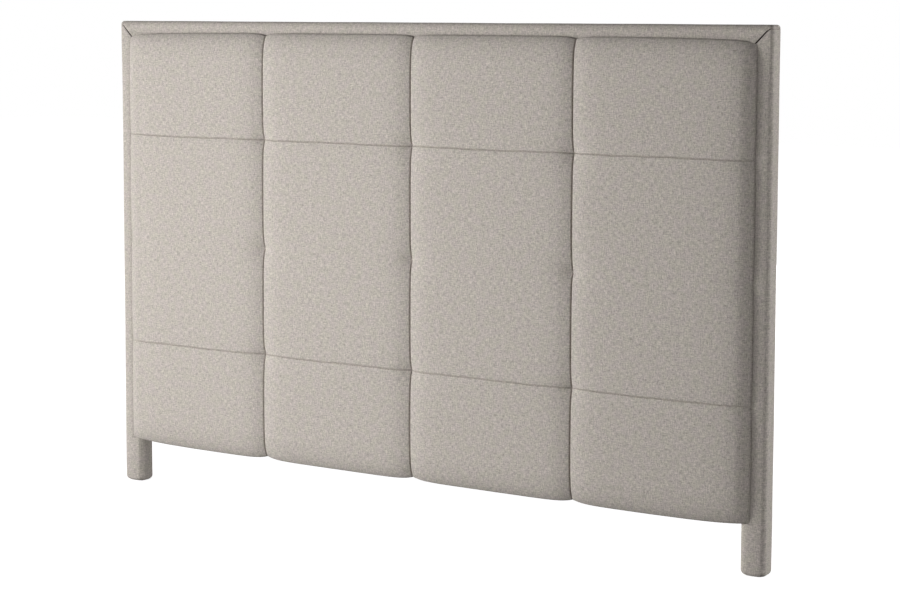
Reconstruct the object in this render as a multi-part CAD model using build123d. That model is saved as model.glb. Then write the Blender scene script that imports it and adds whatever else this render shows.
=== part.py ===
"""Upholstered headboard: a padded timber frame on two legs carries a cushion of four quilted columns.

Millimetres. X runs across the bed, Y from the cushion to the wall, Z up. The origin is on the floor,
under the middle of the whole headboard.
"""
import math
import os

from build123d import *

# Overall size of the covered frame
overall_width = 1800
overall_height = 1200

# Cloth and padding
cloth = 0.9
wadding = 3.1
dust_cloth = 0.5

# Timber of the frame
stile_width = 52
stile_depth = 36
top_rail_height = 60
middle_rail_height = 70
bottom_rail_height = 95
upright_width = 70
bottom_rail_underside = 125
back_panel_thickness = 8

# Edges of the covered frame
top_corner_radius = 8
foot_corner_radius = 8
front_edge_radius = 5
back_edge_radius = 2
least_rounding = 2
wrap_lap = 30
dust_inset = 14

# Cushion: where it sits on the frame, and how far its columns stand out
side_border = 34
top_border = 34
cushion_underside = 117
cushion_rise = 30
column_count = 4
row_height = 267
middle_seam_height = 639

# Cushion: roundings of a column and what the sewing draws in
edge_shoulder = 16
groove_shoulder = 8
crown_drop = 5
crown_reach = 75
middle_crown = 1
edge_tuck = 3
scallop_run = 75
corner_run = 10
seam_dent = 3
crease_dent = 1.5
seam_reach = 45
node_dent = 7
node_draw = 4.5
groove_draw = 3

# Cushion: board, foam and strips inside it
board_thickness = 4
board_edge_padding = 7
board_lap = 18
slab_thickness = 12
slab_inset = 16
slab_chamfer = 8
strip_height = 8
soft_gap = 0.3

# Joinery and fixings
tenon_thickness = 12
tenon_length = 25
tenon_shoulder = 12
corner_block_leg = 80
corner_block_thickness = 22
insert_diameter = 12
insert_length = 20
insert_thread_diameter = 8
insert_spacing = 64
insert_place = 400

# Plates under the legs
foot_plate_thickness = 2
foot_plate_inset = 1
foot_plate_corner_radius = 6
foot_pin_diameter = 5
foot_pin_length = 16
foot_pin_gap = 0.1

# A cut runs this far past what it cuts
overrun = 20

# Places that follow from the sizes above
padding = cloth + wadding
frame_depth = padding + stile_depth + cloth + dust_cloth
total_depth = cushion_rise + frame_depth
border_face = cushion_rise - total_depth / 2
timber_front = border_face + padding
timber_back = timber_front + stile_depth
wrap_back = timber_back + cloth
rear_face = wrap_back + dust_cloth
inner_back = timber_back - back_panel_thickness

half_width = overall_width / 2
leg_width = stile_width + 2 * padding
leg_inner = half_width - leg_width
stile_inner = half_width - padding - stile_width
cover_base = foot_plate_thickness
timber_base = cover_base + cloth
timber_top = overall_height - padding
top_rail_underside = timber_top - top_rail_height
bottom_rail_top = bottom_rail_underside + bottom_rail_height
middle_rail_underside = middle_seam_height - middle_rail_height / 2
middle_rail_top = middle_seam_height + middle_rail_height / 2

cushion_top = overall_height - top_border
cushion_half_width = half_width - side_border
column_pitch = 2 * cushion_half_width / column_count
groove_gap = cloth + 2 * soft_gap
board_back = border_face - cloth
board_front = board_back - board_thickness
slab_front = board_front - slab_thickness
board_half_width = cushion_half_width - board_edge_padding
board_low = cushion_underside + board_edge_padding
board_high = cushion_top - board_edge_padding

groove_places = [
    -cushion_half_width + column_pitch * (i + 1) for i in range(column_count - 1)
]
seam_heights = (
    middle_seam_height - row_height,
    middle_seam_height,
    middle_seam_height + row_height,
)


def block(x_low, x_high, y_low, y_high, z_low, z_high):
    """A box between two opposite corners."""
    size = Box(x_high - x_low, y_high - y_low, z_high - z_low, align=(Align.MIN,) * 3)
    return Pos(x_low, y_low, z_low) * size


def rod(place, direction, radius, length):
    """A round bar that starts at a place and runs along a direction."""
    return extrude(Plane(origin=place, z_dir=direction) * Circle(radius), length)


def rounded(form, edges, radius):
    """A form with some edges rounded, or left square where the padding has used up their radius."""
    return fillet(edges, radius) if radius >= least_rounding else form


def frame_form(inset, front, back, base):
    """The two legs and the top beam in one piece, inset from the covered frame's outline.

    A full slab gets its rounded corners and edges first. Then the bay and the gap between the legs
    are cut out of it, with the inner corners of the feet rounded.
    """
    half = half_width - inset
    top = overall_height - inset
    foot = foot_corner_radius - inset
    outline = Pos(0, base) * Rectangle(2 * half, top - base, align=(Align.CENTER, Align.MIN))
    outline = fillet(outline.vertices().group_by(Axis.Y)[-1], top_corner_radius - inset)
    outline = fillet(outline.vertices().group_by(Axis.Y)[0], foot)
    form = extrude(Plane.XZ.offset(-back) * outline, back - front)
    form = rounded(form, form.faces().sort_by(Axis.Y)[0].edges(), front_edge_radius - inset)
    form = rounded(form, form.faces().sort_by(Axis.Y)[-1].edges(), back_edge_radius - inset)
    inner = leg_inner + inset
    gap = Pos(0, base - overrun) * Rectangle(
        2 * inner, bottom_rail_underside - base + overrun, align=(Align.CENTER, Align.MIN)
    )
    bay = Pos(0, bottom_rail_underside) * Rectangle(
        2 * stile_inner,
        top_rail_underside - bottom_rail_underside,
        align=(Align.CENTER, Align.MIN),
    )
    opening = gap + bay
    for side in (-1, 1):
        centre = (side * (inner + foot), base + foot)
        square = Pos(side * inner, base) * Rectangle(
            foot, foot, align=(Align.MIN if side > 0 else Align.MAX, Align.MIN)
        )
        opening += square - Pos(*centre) * Circle(foot)
    cutter = extrude(Plane.XZ.offset(-back - overrun) * opening, back - front + 2 * overrun)
    return form - cutter


def mitre_region():
    """All that lies above the two 45 degree lines that run inwards from the top corners."""
    reach = 2 * leg_width
    corners = Polyline(
        (-half_width - overrun, overall_height + overrun),
        (half_width + overrun, overall_height + overrun),
        (half_width - reach, overall_height - reach),
        (-half_width + reach, overall_height - reach),
        close=True,
    )
    region = make_face(Plane.XZ.offset(-rear_face - overrun) * corners)
    return extrude(region, frame_depth + 2 * overrun, dir=(0, -1, 0))


def mitred(shell):
    """A shell round the frame, as its left, right and top pieces."""
    top = shell & mitre_region()
    sides = shell - mitre_region()
    left = sides & block(-half_width - overrun, 0, border_face - overrun, rear_face + overrun,
                         -overrun, overall_height + overrun)
    right = sides - left
    return left, right, top


# Timber frame: stiles, top rail and the members between them

def tenon(x_low, x_high, z_low, z_high):
    """The tongue of a joint, as thick as every other one and at the same depth in the frame."""
    middle = (timber_front + inner_back) / 2
    half = tenon_thickness / 2
    return block(x_low, x_high, middle - half, middle + half, z_low, z_high)


def rail_tenons(z_low, z_high):
    """The tenons of a rail, in the left and the right stile."""
    low, high = z_low + tenon_shoulder, z_high - tenon_shoulder
    return [
        tenon(-stile_inner - tenon_length, -stile_inner, low, high),
        tenon(stile_inner, stile_inner + tenon_length, low, high),
    ]


def upright_tenons(groove):
    """The tenons of an upright behind a groove, in the bottom and the top rail."""
    reach = upright_width / 2 - tenon_shoulder
    low, high = groove - reach, groove + reach
    return [
        tenon(low, high, bottom_rail_top - tenon_length, bottom_rail_top),
        tenon(low, high, top_rail_underside, top_rail_underside + tenon_length),
    ]


def insert_places():
    """The threaded inserts in the underside of the bottom rail, in two pairs."""
    depth = (border_face + inner_back) / 2
    return [
        (side * insert_place + step, depth, bottom_rail_underside)
        for side in (-1, 1)
        for step in (-insert_spacing / 2, insert_spacing / 2)
    ]


def foot_pin(side, gap):
    """The pin in the middle of a foot plate, or with a gap the bore for it."""
    place = (side * (half_width - leg_width / 2), (border_face + wrap_back) / 2, cover_base)
    length = cloth + foot_pin_length + gap
    return rod(place, (0, 0, 1), foot_pin_diameter / 2 + gap, length)


def inner_member(x_low, x_high, z_low, z_high):
    """A rail or upright behind the cushion, flush with the covered face of the frame."""
    return block(x_low, x_high, border_face, inner_back, z_low, z_high)


timber_form = frame_form(padding, timber_front, timber_back, timber_base)
left_zone = block(-half_width, -stile_inner, border_face, rear_face, 0, overall_height)
right_zone = block(stile_inner, half_width, border_face, rear_face, 0, overall_height)
lap_plane = (border_face + inner_back) / 2

rail_spans = {
    "top_rail": (top_rail_underside, timber_top),
    "middle_rail": (middle_rail_underside, middle_rail_top),
    "bottom_rail": (bottom_rail_underside, bottom_rail_top),
}

nodes = {
    "left_stile": timber_form & left_zone,
    "right_stile": timber_form & right_zone,
    "top_rail": timber_form - left_zone - right_zone,
    "middle_rail": inner_member(-stile_inner, stile_inner, *rail_spans["middle_rail"]),
    "bottom_rail": inner_member(-stile_inner, stile_inner, *rail_spans["bottom_rail"]),
}
for name, span in rail_spans.items():
    left_tenon, right_tenon = rail_tenons(*span)
    nodes["left_stile"] -= left_tenon
    nodes["right_stile"] -= right_tenon
    nodes[name] = nodes[name] + left_tenon + right_tenon
for number, groove in enumerate(groove_places, 1):
    x_low, x_high = groove - upright_width / 2, groove + upright_width / 2
    front_lap = block(x_low, x_high, border_face, lap_plane, *rail_spans["middle_rail"])
    back_lap = block(x_low, x_high, lap_plane, inner_back, *rail_spans["middle_rail"])
    low_tenon, high_tenon = upright_tenons(groove)
    nodes["middle_rail"] -= front_lap
    nodes["bottom_rail"] -= low_tenon
    nodes["top_rail"] -= high_tenon
    upright = inner_member(x_low, x_high, bottom_rail_top, top_rail_underside) - back_lap
    nodes[f"upright_{number}"] = upright + low_tenon + high_tenon
for side, name in ((-1, "left_stile"), (1, "right_stile")):
    nodes[name] -= foot_pin(side, foot_pin_gap)
for place in insert_places():
    nodes["bottom_rail"] -= rod(place, (0, 0, 1), insert_diameter / 2, insert_length)


# Triangular blocks glued into the four corners behind the cushion

def corner_block(side, z_corner, up):
    """A right-angled block whose two legs lie on a stile and a rail."""
    corner = Vector(side * stile_inner, z_corner)
    outline = Polyline(
        (corner.X, corner.Y),
        (corner.X - side * corner_block_leg, corner.Y),
        (corner.X, corner.Y + up * corner_block_leg),
        close=True,
    )
    face = make_face(Plane.XZ.offset(-inner_back) * outline)
    return extrude(face, corner_block_thickness, dir=(0, -1, 0))


nodes["corner_blocks"] = Compound(children=[
    corner_block(side, z_corner, up)
    for side in (-1, 1)
    for z_corner, up in ((bottom_rail_top, 1), (top_rail_underside, -1))
])


# Threaded inserts for the bed, pressed into the bottom rail from below

def insert(place):
    """A steel sleeve flush with the underside of the rail, with a through bore for the bolt."""
    sleeve = rod(place, (0, 0, 1), insert_diameter / 2, insert_length)
    return sleeve - rod(place, (0, 0, 1), insert_thread_diameter / 2, insert_length)


nodes["bed_fixing_inserts"] = Compound(children=[insert(place) for place in insert_places()])

# Plates under the legs, each moulded with a pin

plate_outline = RectangleRounded(
    leg_width - 2 * foot_plate_inset,
    wrap_back - border_face - 2 * foot_plate_inset,
    foot_plate_corner_radius,
)
for side, name in ((-1, "left_foot_plate"), (1, "right_foot_plate")):
    middle = (side * (half_width - leg_width / 2), (border_face + wrap_back) / 2)
    nodes[name] = extrude(Pos(*middle) * plate_outline, foot_plate_thickness) + foot_pin(side, 0)

# Wadding and cloth round the stiles and the top rail, mitred at the top corners. The wadding stops
# where the feet start to round, so that the cloth lies flat under them

cloth_form = frame_form(0, border_face, wrap_back, cover_base)
wadding_form = frame_form(cloth, border_face + cloth, timber_back, timber_base)
back_opening = block(-half_width + wrap_lap, half_width - wrap_lap, timber_back, rear_face,
                     bottom_rail_underside, overall_height - wrap_lap)
cloth_shell = cloth_form - wadding_form - timber_form - back_opening
for side in (-1, 1):
    cloth_shell -= foot_pin(side, foot_pin_gap)
wadding_shell = wadding_form - timber_form - block(
    -half_width, half_width, border_face, rear_face, 0, cover_base + foot_corner_radius
)
for kind, shell in (("cover", cloth_shell), ("wadding", wadding_shell)):
    for place, piece in zip(("left", "right", "top"), mitred(shell)):
        nodes[f"{place}_{kind}"] = piece

# Back: a thin panel let in between the stiles, and the dust cover over it

nodes["back_panel"] = block(
    -stile_inner, stile_inner, inner_back, timber_back, bottom_rail_underside, top_rail_underside
)
nodes["dust_cover"] = block(
    -half_width + dust_inset, half_width - dust_inset, wrap_back, rear_face,
    bottom_rail_underside + dust_inset, overall_height - dust_inset,
)

# Cushion board, foam slabs and the strips that hold the seams of the grooves down

board = block(-board_half_width, board_half_width, board_front, board_back, board_low, board_high)
nodes["cushion_board"] = board


def column_sides(number):
    """Left and right side of a column, and whether each is an outer edge of the cushion."""
    left = -cushion_half_width + column_pitch * number
    right = left + column_pitch
    outer_left = number == 0
    outer_right = number == column_count - 1
    left += 0 if outer_left else groove_gap / 2
    right -= 0 if outer_right else groove_gap / 2
    return left, right, outer_left, outer_right


def foam_slab(number):
    """A foam slab on the board, with its front edges chamfered."""
    left, right, _, _ = column_sides(number)
    slab = block(left + slab_inset, right - slab_inset, slab_front, board_front,
                 cushion_underside + slab_inset, cushion_top - slab_inset)
    return chamfer(slab.faces().sort_by(Axis.Y)[0].edges(), slab_chamfer)


# The quilted columns. A column is a ruled loft through level outlines. Each outline has a back, two
# sides, two shoulders, two falling stretches of the crown and its nearly flat middle.
# Shares along an end, from its outermost level to where the column has its full section
end_height_shares = (0, 0.15, 0.4, 1)
end_draw_shares = (1, 0.4, 0, 0)
# Shares of the reach of a seam, from its line outwards
seam_step_shares = (0, 0.2, 0.5, 1)
crown_middle_share = 0.75


def column_outline(z, sides, base, lift, draws, drops):
    """One level outline of a column.

    base is how far its back stands off the frame, lift the height of the crown over the frame, draws
    how far each side is drawn in, and drops how far each shoulder lies under the crown.
    """
    left, right, outer_left, outer_right = sides
    points = []
    for x, inward, outer, draw, drop in (
        (left, 1, outer_left, draws[0], drops[0]),
        (right, -1, outer_right, draws[1], drops[1]),
    ):
        edge = x + inward * draw
        height = lift - drop
        full = (edge_shoulder if outer else groove_shoulder) / (cushion_rise - crown_drop)
        radius = full * (height - base)
        tuck = edge_tuck if outer else 0
        slant = radius * (1 - math.sqrt(0.5))
        top = lift - middle_crown
        points.append([
            (edge + inward * tuck, base),
            (edge, height - radius),
            (edge + inward * slant, height - slant),
            (edge + inward * radius, height),
            (edge + inward * (radius + crown_reach / 2), height + (top - height) * crown_middle_share),
            (edge + inward * (radius + crown_reach), top),
        ])
    near, far = [
        [Vector(x, border_face - depth, z) for x, depth in side_points] for side_points in points
    ]
    summit = Vector((near[-1].X + far[-1].X) / 2, border_face - lift, z)
    edges = [
        Line(near[0], near[1]),
        ThreePointArc(near[1], near[2], near[3]),
        ThreePointArc(near[3], near[4], near[5]),
        ThreePointArc(near[5], summit, far[5]),
        ThreePointArc(far[5], far[4], far[3]),
        ThreePointArc(far[3], far[2], far[1]),
        Line(far[1], far[0]),
        Line(far[0], near[0]),
    ]
    return make_face(edges)


def column_outlines(sides):
    """All outlines of a column, from its lower end over the seams to its upper end."""
    outer = sides[2:]
    outlines = []

    def add_end(z, inward):
        steps = list(zip(end_height_shares, end_draw_shares))
        if inward < 0:
            steps.reverse()
        for height_share, draw_share in steps:
            sunk = edge_shoulder * (1 - math.sqrt(1 - (1 - height_share) ** 2))
            runs = [corner_run if is_outer else scallop_run for is_outer in outer]
            outlines.append(column_outline(
                z + inward * edge_shoulder * height_share, sides, edge_tuck * draw_share,
                cushion_rise - sunk, [run * draw_share for run in runs], [crown_drop] * 2,
            ))

    def add_seam(z, dent):
        steps = [-share for share in seam_step_shares[:0:-1]] + list(seam_step_shares)
        for share in steps:
            pull = (1 - abs(share)) ** 2
            draws = [(node_draw if is_outer else groove_draw) * pull for is_outer in outer]
            outlines.append(column_outline(
                z + share * seam_reach, sides, 0, cushion_rise - dent * pull, draws,
                [crown_drop + (node_dent - dent) * pull] * 2,
            ))

    add_end(cushion_underside, 1)
    for z, dent in zip(seam_heights, (seam_dent, crease_dent, seam_dent)):
        add_seam(z, dent)
    add_end(cushion_top, -1)
    return outlines


flap_opening = block(
    -board_half_width + board_lap, board_half_width - board_lap, board_back, border_face,
    board_low + board_lap, board_high - board_lap,
)
for number in range(column_count):
    sides = column_sides(number)
    slab = foam_slab(number)
    column = loft(column_outlines(sides), ruled=True)
    column = column - board - slab - flap_opening
    nodes[f"foam_slab_{number + 1}"] = slab
    nodes[f"quilted_column_{number + 1}"] = column

for number, groove in enumerate(groove_places, 1):
    nodes[f"pull_strip_{number}"] = block(
        groove - cloth / 2, groove + cloth / 2, board_front - strip_height, board_front,
        board_low, board_high,
    )

os.makedirs("parts", exist_ok=True)
for name, piece in nodes.items():
    export_step(piece, f"parts/{name}.step")
print(f"{len(nodes)} nodes, {overall_width} x {total_depth:.1f} x {overall_height} mm")
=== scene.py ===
"""Upholstered headboard: looks, camera and light, on the frame that the CAD model gives.

Metres. X runs across the bed, Y from the cushion to the wall, Z up from the floor.
"""
import math

import bpy
import numpy as np
from mathutils import Matrix, Vector


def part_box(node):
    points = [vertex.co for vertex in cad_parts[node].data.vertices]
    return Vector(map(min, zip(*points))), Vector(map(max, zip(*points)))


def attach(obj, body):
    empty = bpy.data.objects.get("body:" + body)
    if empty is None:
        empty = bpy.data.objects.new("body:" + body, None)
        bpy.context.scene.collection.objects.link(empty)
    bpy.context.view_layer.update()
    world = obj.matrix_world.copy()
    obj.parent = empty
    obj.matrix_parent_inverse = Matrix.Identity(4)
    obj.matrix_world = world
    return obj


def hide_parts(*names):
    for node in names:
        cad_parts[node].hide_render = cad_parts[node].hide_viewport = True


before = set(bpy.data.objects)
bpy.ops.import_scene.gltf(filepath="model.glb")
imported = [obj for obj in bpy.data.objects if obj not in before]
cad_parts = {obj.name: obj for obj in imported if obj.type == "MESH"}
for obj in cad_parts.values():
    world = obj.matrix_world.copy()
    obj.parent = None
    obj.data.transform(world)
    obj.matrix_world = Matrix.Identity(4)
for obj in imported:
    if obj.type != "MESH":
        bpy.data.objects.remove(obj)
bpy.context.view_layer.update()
MM = 0.001


# ---- The camera
# It stands to the right of the headboard, a little above its top rail, and looks slightly down. The
# picture is shifted a little, as on an upright studio camera, to keep the legs nearly parallel.

picture_width = 900
focal_pixels = 2049.9
sensor_width, picture_shift = 36, -0.12
near_clip, far_clip = 0.1, 60
camera_place = (2.5896, -4.0828, 1.2221)
camera_turn, camera_dip, camera_roll = (math.radians(turn) for turn in (31.4364, 4.9828, 0.1814))

camera_data = bpy.data.cameras.new("camera")
camera_data.sensor_width = sensor_width
camera_data.lens = sensor_width * focal_pixels / picture_width
camera_data.shift_y = picture_shift
camera_data.clip_start, camera_data.clip_end = near_clip, far_clip
camera = bpy.data.objects.new("camera", camera_data)
camera.matrix_world = (
    Matrix.Translation(camera_place)
    @ Matrix.Rotation(camera_turn, 4, "Z")
    @ Matrix.Rotation(math.pi / 2 - camera_dip, 4, "X")
    @ Matrix.Rotation(camera_roll, 4, "Z")
)
bpy.context.scene.collection.objects.link(camera)
bpy.context.scene.camera = camera


# ---- The studio
# A white floor that runs out of sight and a white surround. A large soft lamp far to the left lights
# the front, two weak ones fill it, two stand at the right for that side, and one lights the back.

scene = bpy.context.scene
scene.view_settings.view_transform = "Standard"

white = (1, 1, 1, 1)
floor_color, floor_bounce = (0.86, 0.86, 0.86, 1), (0.22, 0.22, 0.22, 1)
glow_from, glow_to = 1.2, 4.0
glow_near, glow_far = 0.82, 1.0
floor_reach = 14
surround_light = 0.05


def node_adder(tree):
    """Empties a tree of nodes, and gives the function that adds a node to it.

    A new node's inputs are given in turn or by name. Each is a value, a socket that feeds it, or a node
    whose first output feeds it. Any other name is one of the node's settings.
    """
    tree.nodes.clear()

    def add(kind, *inputs, **named):
        node = tree.nodes.new("ShaderNode" + kind)
        feeds = list(zip(node.inputs, inputs))
        for key, value in named.items():
            if hasattr(node, key):
                setattr(node, key, value)
            else:
                feeds.append((node.inputs[key.replace("_", " ")], value))
        for socket, value in feeds:
            source = value.outputs[0] if isinstance(value, bpy.types.Node) else value
            if isinstance(source, bpy.types.NodeSocket):
                tree.links.new(source, socket)
            else:
                socket.default_value = source
        return node

    return add


def new_material(name):
    """A material that has no nodes yet, and the function that adds them."""
    material = bpy.data.materials.new(name)
    material.use_nodes = True
    return material, node_adder(material.node_tree)


floor_material, add = new_material("studio_floor")
seen = add("LightPath")
away = add("VectorMath", add("TexCoord").outputs["Object"], operation="LENGTH")
ramp = add("MapRange", away.outputs["Value"], From_Min=glow_from, From_Max=glow_to,
           To_Min=glow_near, To_Max=glow_far)
glow = add("Emission", Color=white, Strength=ramp)
lit = add("AddShader", add("BsdfDiffuse", Color=floor_color), glow)
dull = add("BsdfDiffuse", Color=floor_bounce)
add("OutputMaterial", add("MixShader", seen.outputs["Is Camera Ray"], dull, lit))

floor_mesh = bpy.data.meshes.new("studio_floor")
floor_mesh.from_pydata(
    [(-floor_reach, -floor_reach, 0), (floor_reach, -floor_reach, 0),
     (floor_reach, floor_reach, 0), (-floor_reach, floor_reach, 0)],
    [], [(0, 1, 2, 3)],
)
floor_mesh.materials.append(floor_material)
floor = bpy.data.objects.new("studio_floor", floor_mesh)
scene.collection.objects.link(floor)

world = bpy.data.worlds.new("studio")
scene.world = world
world.use_nodes = True
add = node_adder(world.node_tree)
seen = add("LightPath")
direct = seen.outputs["Is Camera Ray"]
for ray in ("Is Glossy Ray", "Is Transmission Ray"):
    direct = add("Math", direct, seen.outputs[ray], operation="MAXIMUM")
surround = add("Background", Color=white, Strength=surround_light)
backdrop = add("Background", Color=white, Strength=1)
add("OutputWorld", add("MixShader", direct, surround, backdrop))


def lamp(name, place, target, size, power):
    """A soft square lamp at a place, turned to a target."""
    data = bpy.data.lights.new(name, "AREA")
    data.shape = "SQUARE"
    data.size = size
    data.energy = power
    thing = bpy.data.objects.new(name, data)
    back = Vector(place) - Vector(target)
    turn = back.to_track_quat("Z", "Y").to_matrix().to_4x4()
    thing.matrix_world = Matrix.Translation(place) @ turn
    scene.collection.objects.link(thing)


lamp("left_lamp", (-8.0, -4.0, 0.6), (0, 0, 0.65), 3.0, 905)
lamp("near_lamp", (-0.6, -2.2, 0.75), (-0.35, 0, 0.72), 1.3, 25)
lamp("low_near_lamp", (-1.2, -2.0, 0.75), (-0.6, 0, 0.72), 1.2, 6)
lamp("right_lamp", (6.0, 0.4, 0.7), (0, 0, 0.6), 2.0, 118)
lamp("side_lamp", (3.2, 1.9, 1.0), (0.9, 0, 0.6), 1.2, 37)
lamp("back_lamp", (-1.5, 5.0, 1.4), (0, 0, 0.6), 2.5, 70)


# ---- The timber frame
# Planed softwood: two stiles, three rails and three uprights, tenoned and lapped, with glued corner
# blocks. Of all this only the lower edge of the bottom rail shows, from below and behind.

pine_pale, pine_warm = (0.70, 0.53, 0.34, 1), (0.50, 0.32, 0.17, 1)
ring_width = 5 * MM
ring_share, pore_share = 0.6, 0.4
grain_squeeze, heart = 0.05, (0.03, 0.06, 0.04)


def finish_surface(add, color, relief, strength, distance, **values):
    """The shader on the material's output, with its colour, its values and the relief of a height."""
    bump = add("Bump", Height=relief, Strength=strength, Distance=distance)
    add("OutputMaterial", add("BsdfPrincipled", Base_Color=color, Normal=bump, **values))


def wood_tone(add, place, grain):
    """Growth rings as bands round a line along the grain, with pores as noise stretched along it."""
    squeeze = [grain_squeeze if axis == grain else 1 for axis in "XYZ"]
    timber = add("Mapping", place, Location=heart, Scale=squeeze)
    rings = add("TexWave", timber, wave_type="RINGS", rings_direction=grain,
                Scale=math.pi / 10 / ring_width, Distortion=6.0, Detail=2.0)
    pores = add("TexNoise", timber, Scale=900.0, Detail=3.0)
    return add("Math", add("Math", rings.outputs["Fac"], ring_share, operation="MULTIPLY"),
               add("Math", pores, pore_share, operation="MULTIPLY"), operation="ADD")


def make_pine(name, grain):
    """Planed pine with its grain along one axis."""
    material, add = new_material(name)
    tone = wood_tone(add, add("TexCoord").outputs["Object"], grain)
    finish_surface(add, add("MixRGB", tone, pine_pale, pine_warm), tone, 0.2, 0.3 * MM,
                   Roughness=0.62, Specular_IOR_Level=0.3)
    return material


def dress(material, *names):
    """Gives CAD nodes a material."""
    for name in names:
        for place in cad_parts[name].material_slots:
            place.material = material


upright_pine = make_pine("pine_upright", "Z")
dress(make_pine("pine_along", "X"), "top_rail", "middle_rail", "bottom_rail")
dress(upright_pine, "upright_1", "upright_2", "upright_3", "corner_blocks")


def make_piece(name, points, faces, cut, material, painted_shade=None):
    """A smooth mesh object from points (n, 3), faces as corner lists and each corner's place in the cut.

    The last argument is each point's painted shade, 0 to 1: how far its cloth is darkened.
    """
    mesh = bpy.data.meshes.new(name)
    mesh.from_pydata(points.tolist(), [], faces)
    layer = mesh.uv_layers.new(name="cut")
    layer.data.foreach_set("uv", np.ascontiguousarray(cut, dtype=np.float32).ravel())
    mesh.polygons.foreach_set("use_smooth", np.ones(len(mesh.polygons), dtype=bool))
    mesh.materials.append(material)
    if painted_shade is not None:
        depth = mesh.attributes.new("painted_shade", "FLOAT", "POINT")
        depth.data.foreach_set("value", np.ascontiguousarray(painted_shade, dtype=np.float32).ravel())
    mesh.update()
    piece = bpy.data.objects.new(name, mesh)
    scene.collection.objects.link(piece)
    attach(piece, "root")
    return piece


def section(depth_low, depth_high, width, front, inner, back, dome=0, arc_steps=8, flat_steps=8):
    """A rounded rectangle as (p, y) points: p from 0 at the outer side to width, y front to back.

    Four quarter arcs are joined by straight stretches. The front stretch is domed by a half sine of
    p over the width, as wadding makes it.
    """
    corners = (
        (front, depth_low + front, front, math.pi, 1.5 * math.pi),
        (width - inner, depth_low + inner, inner, 1.5 * math.pi, 2 * math.pi),
        (width - back, depth_high - back, back, 0, 0.5 * math.pi),
        (back, depth_high - back, back, 0.5 * math.pi, math.pi),
    )
    arcs = []
    for p, y, radius, start, end in corners:
        angle = np.linspace(start, end, arc_steps + 1)
        arcs.append(np.stack([p + radius * np.cos(angle), y + radius * np.sin(angle)], -1))
    out = []
    for number, arc in enumerate(arcs):
        after = arcs[(number + 1) % 4][0]
        share = np.linspace(0, 1, flat_steps + 1)[1:-1, None]
        out += [arc, arc[-1] + (after - arc[-1]) * share]
    points = np.concatenate(out)
    front_dome = np.clip(np.sin(np.pi * points[:, 0] / width), 0, 1)
    near = np.clip((depth_low + max(front, inner) - points[:, 1]) / max(front, inner), 0, 1)
    points[:, 1] -= dome * front_dome * near
    return points


def girth(ring):
    """Length round a closed ring of (p, y) points, from 0 to the whole, one value more than points."""
    closed = np.vstack([ring, ring[:1]])
    return np.concatenate([[0], np.cumsum(np.hypot(*np.diff(closed, axis=0).T))])


def tube_faces(rows, columns):
    """Quads of a tube of closed rings, and the two end rings' fans, each round one middle point."""
    r, c = np.meshgrid(np.arange(rows - 1), np.arange(columns), indexing="ij")
    after = (c + 1) % columns
    quads = np.stack([r * columns + c, r * columns + after,
                      (r + 1) * columns + after, (r + 1) * columns + c], -1).reshape(-1, 4)
    ring = np.arange(columns)
    turn = (ring + 1) % columns
    last = (rows - 1) * columns
    low_pole, high_pole = rows * columns, rows * columns + 1
    low = np.stack([turn, ring, np.full(columns, low_pole)], -1)
    high = np.stack([last + ring, last + turn, np.full(columns, high_pole)], -1)
    return quads, low, high


def tube_cut(around, along):
    """Where each corner of the tube's faces lies in the cut cloth, in the order of tube_faces."""
    rows, columns = around.shape[0], around.shape[1] - 1

    def place(row, column):
        return np.stack([around[row, column], along[row, column]], -1)

    r, c = np.meshgrid(np.arange(rows - 1), np.arange(columns), indexing="ij")
    quads = np.stack([place(r, c), place(r, c + 1), place(r + 1, c + 1), place(r + 1, c)], -2)
    c = np.arange(columns)
    low = np.stack([place(0, c + 1), place(0, c), place(0, c)], -2)
    high = np.stack([place(rows - 1, c), place(rows - 1, c + 1), place(rows - 1, c)], -2)
    return np.concatenate([quads.reshape(-1, 2), low.reshape(-1, 2), high.reshape(-1, 2)])


def tube_piece(name, rings, outline, axis, flip, material, painted_shade=None):
    """A tube through rings (rows, columns, 3), closed at both ends by a fan to the ring's middle.

    The cut measures the outline's girth one way, and the points' own coordinate on the axis that the
    tube runs along the other way.
    """
    rows, columns = rings.shape[:2]
    points = np.concatenate([rings.reshape(-1, 3), rings[:1].mean(1), rings[-1:].mean(1)])
    around = np.repeat(girth(outline)[None], rows, 0)
    level = rings[..., "XYZ".index(axis)]
    cut = tube_cut(around, np.concatenate([level, level[:, :1]], 1))
    quads, low, high = tube_faces(rows, columns)
    faces = quads.tolist() + low.tolist() + high.tolist()
    if flip:
        faces = [face[::-1] for face in faces]
        sizes = np.array([len(face) for face in faces])
        ends = np.cumsum(sizes)
        order = [np.arange(end - 1, end - size - 1, -1) for end, size in zip(ends, sizes)]
        cut = cut[np.concatenate(order)]
    if painted_shade is not None:
        painted_shade = np.append(painted_shade, [painted_shade[0].mean(), painted_shade[-1].mean()])
    return make_piece(name, points, faces, cut, material, painted_shade)


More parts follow.
